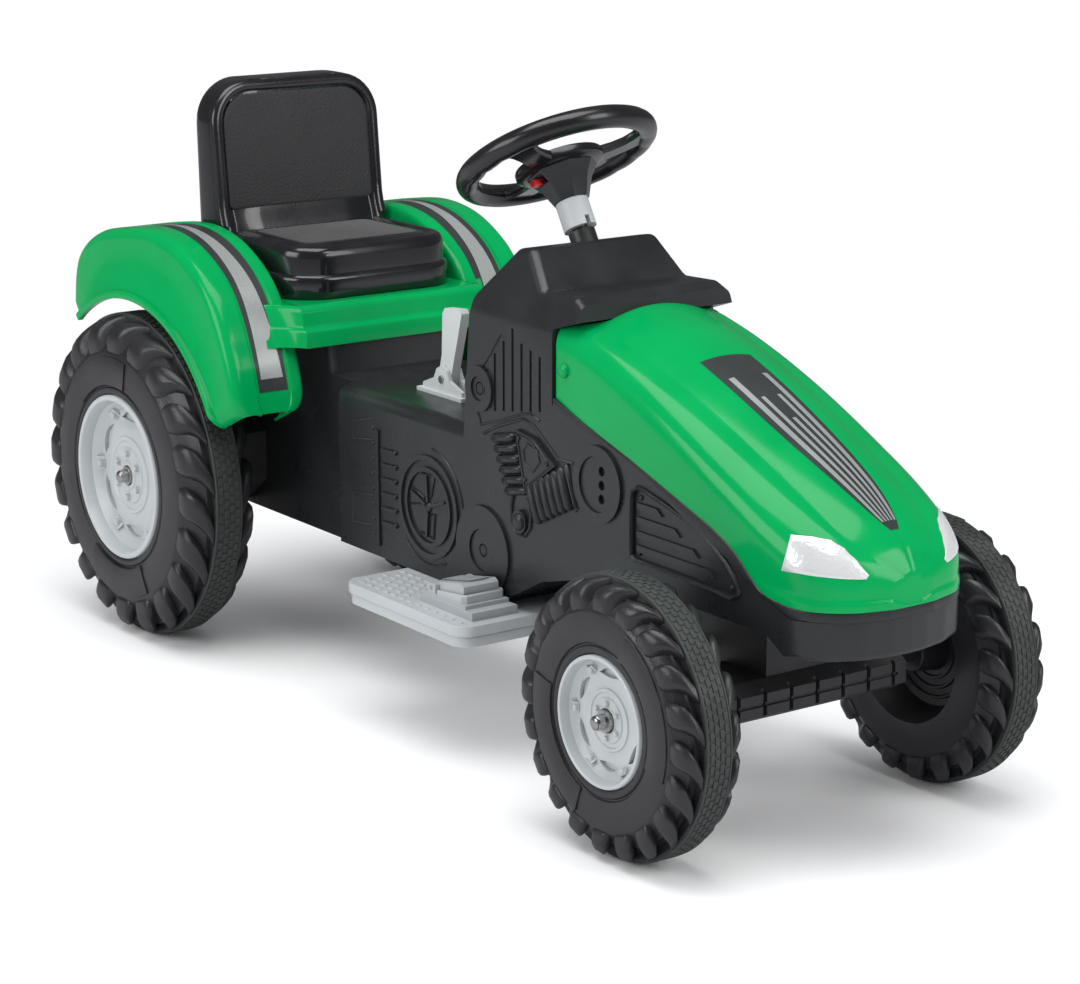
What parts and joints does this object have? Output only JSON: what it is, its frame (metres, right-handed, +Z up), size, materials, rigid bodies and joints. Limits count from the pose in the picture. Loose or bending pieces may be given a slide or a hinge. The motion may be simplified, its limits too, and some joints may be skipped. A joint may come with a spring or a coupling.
{
  "type": "ride-on tractor toy",
  "caption": "Ride-on toy tractor: moulded body halves, green hood and fender deck, seat with back, lugged wheels, linked tilted steering, foot pedal, gear lever and geared rear drive.",
  "frame": {"origin": "on the ground under the centre of the bounding box", "axes": "+X forward to the nose, +Y to the rider's left, +Z up"},
  "size_m": [1.189, 0.441, 0.6148],
  "materials": {
    "body_black": "fine-grained moulded charcoal",
    "hood_green": "gloss moulded",
    "lens_silver": "silver foil",
    "seat_black": "gloss moulded",
    "tyre_black": "satin blow-moulded",
    "band_rubber": "matt rubber",
    "rim_grey": "satin moulded",
    "trim_grey": "satin moulded",
    "pedal_grey": "ribbed moulded",
    "switch_red": "gloss",
    "button_black": "satin",
    "battery_case": "matt moulded",
    "steel": "zinc-plated"
  },
  "bodies": {
    "chassis": {"battery": "battery_case", "battery_strap": "button_black", "body_screws": "steel", "body_shell_left": "body_black", "body_shell_right": "body_black", "drive_motor": "steel", "fender_deck": "hood_green", "footboard_lower": "trim_grey", "footboard_upper": "trim_grey", "front_axle_beam": "body_black", "gearbox": "body_black", "headlight_left": "lens_silver", "headlight_right": "lens_silver", "hood": "hood_green", "hood_screws": "steel", "kingpin_left": "steel", "kingpin_right": "steel", "lever_bracket": "trim_grey", "lever_pin": "steel", "pedal_housing": "trim_grey", "pedal_pin": "steel", "pedal_switch": "button_black", "rear_axle": "steel", "rear_axle_nut_left": "steel", "rear_axle_nut_right": "steel", "seat": "seat_black", "steering_bushes": "button_black"},
    "steering": {"steering_shaft": "steel", "steering_collar": "trim_grey", "steering_cone": "seat_black", "steering_wheel": "seat_black"},
    "horn": {"horn_button": "button_black"},
    "music_switch": {"sound_switch": "switch_red"},
    "knuckle_right": {"knuckle_right": "steel", "front_axle_nut_right": "steel"},
    "knuckle_left": {"knuckle_left": "steel", "front_axle_nut_left": "steel"},
    "tie_rod": {"tie_rod": "steel"},
    "lever": {"gear_lever": "trim_grey"},
    "pedal": {"accelerator_pedal": "pedal_grey"},
    "front_wheel_right": {"front_tyre_right": "tyre_black", "front_band_right": "band_rubber", "front_hub_cap_right": "rim_grey"},
    "front_wheel_left": {"front_tyre_left": "tyre_black", "front_band_left": "band_rubber", "front_hub_cap_left": "rim_grey"},
    "rear_wheel_right": {"rear_tyre_right": "tyre_black", "rear_band_right": "band_rubber", "rear_hub_cap_right": "rim_grey", "drive_hub": "body_black"},
    "rear_wheel_left": {"rear_tyre_left": "tyre_black", "rear_band_left": "band_rubber", "rear_hub_cap_left": "rim_grey"}
  },
  "joints": [
    {"name": "steering_turn", "type": "hinge", "parent": "chassis", "child": "steering", "pos_m": [0.082, 0, 0.558], "axis": [-0.515, 0, 0.8572], "range_deg": [-40, 40]},
    {"name": "knuckle_right_turn", "type": "hinge", "parent": "chassis", "child": "knuckle_right", "pos_m": [0.431, -0.122, 0.127], "axis": [0, 0, 1], "range_deg": [-21, 21]},
    {"name": "knuckle_left_turn", "type": "hinge", "parent": "chassis", "child": "knuckle_left", "pos_m": [0.431, 0.122, 0.127], "axis": [0, 0, 1], "range_deg": [-21, 21]},
    {"name": "tie_rod_slide", "type": "slide", "parent": "chassis", "child": "tie_rod", "axis": [0, 1, 0], "range_m": [-0.024, 0.024]},
    {"name": "front_wheel_right_spin", "type": "hinge", "parent": "knuckle_right", "child": "front_wheel_right", "pos_m": [0.431, -0.176, 0.127], "axis": [0, 1, 0], "continuous": true},
    {"name": "front_wheel_left_spin", "type": "hinge", "parent": "knuckle_left", "child": "front_wheel_left", "pos_m": [0.431, 0.176, 0.127], "axis": [0, 1, 0], "continuous": true},
    {"name": "rear_wheel_right_spin", "type": "hinge", "parent": "chassis", "child": "rear_wheel_right", "pos_m": [-0.42, -0.18, 0.175], "axis": [0, 1, 0], "continuous": true},
    {"name": "rear_wheel_left_spin", "type": "hinge", "parent": "chassis", "child": "rear_wheel_left", "pos_m": [-0.42, 0.18, 0.175], "axis": [0, 1, 0], "continuous": true},
    {"name": "gear_lever_turn", "type": "hinge", "parent": "chassis", "child": "lever", "pos_m": [-0.06, -0.03, 0.322], "axis": [0, 1, 0], "range_deg": [-12, 12]},
    {"name": "pedal_press", "type": "hinge", "parent": "chassis", "child": "pedal", "pos_m": [0.084, -0.124, 0.157], "axis": [0, 1, 0], "range_deg": [0, 6], "stiffness_Nm_per_rad": 1.5, "springref_deg": -8.59},
    {"name": "horn_press", "type": "slide", "parent": "steering", "child": "horn", "axis": [-0.515, 0, 0.8572], "range_m": [-0.002, 0], "stiffness_N_per_m": 400, "springref_m": 0.002},
    {"name": "music_switch_slide", "type": "slide", "parent": "steering", "child": "music_switch", "axis": [0.8572, 0, 0.515], "range_m": [0, 0.007]}
  ],
  "couplings": [
    {"joint": "knuckle_right_turn", "follows": "steering_turn", "ratio": 0.5},
    {"joint": "knuckle_left_turn", "follows": "steering_turn", "ratio": 0.5},
    {"joint": "tie_rod_slide", "follows": "steering_turn", "m_per_rad": -0.0325}
  ]
}
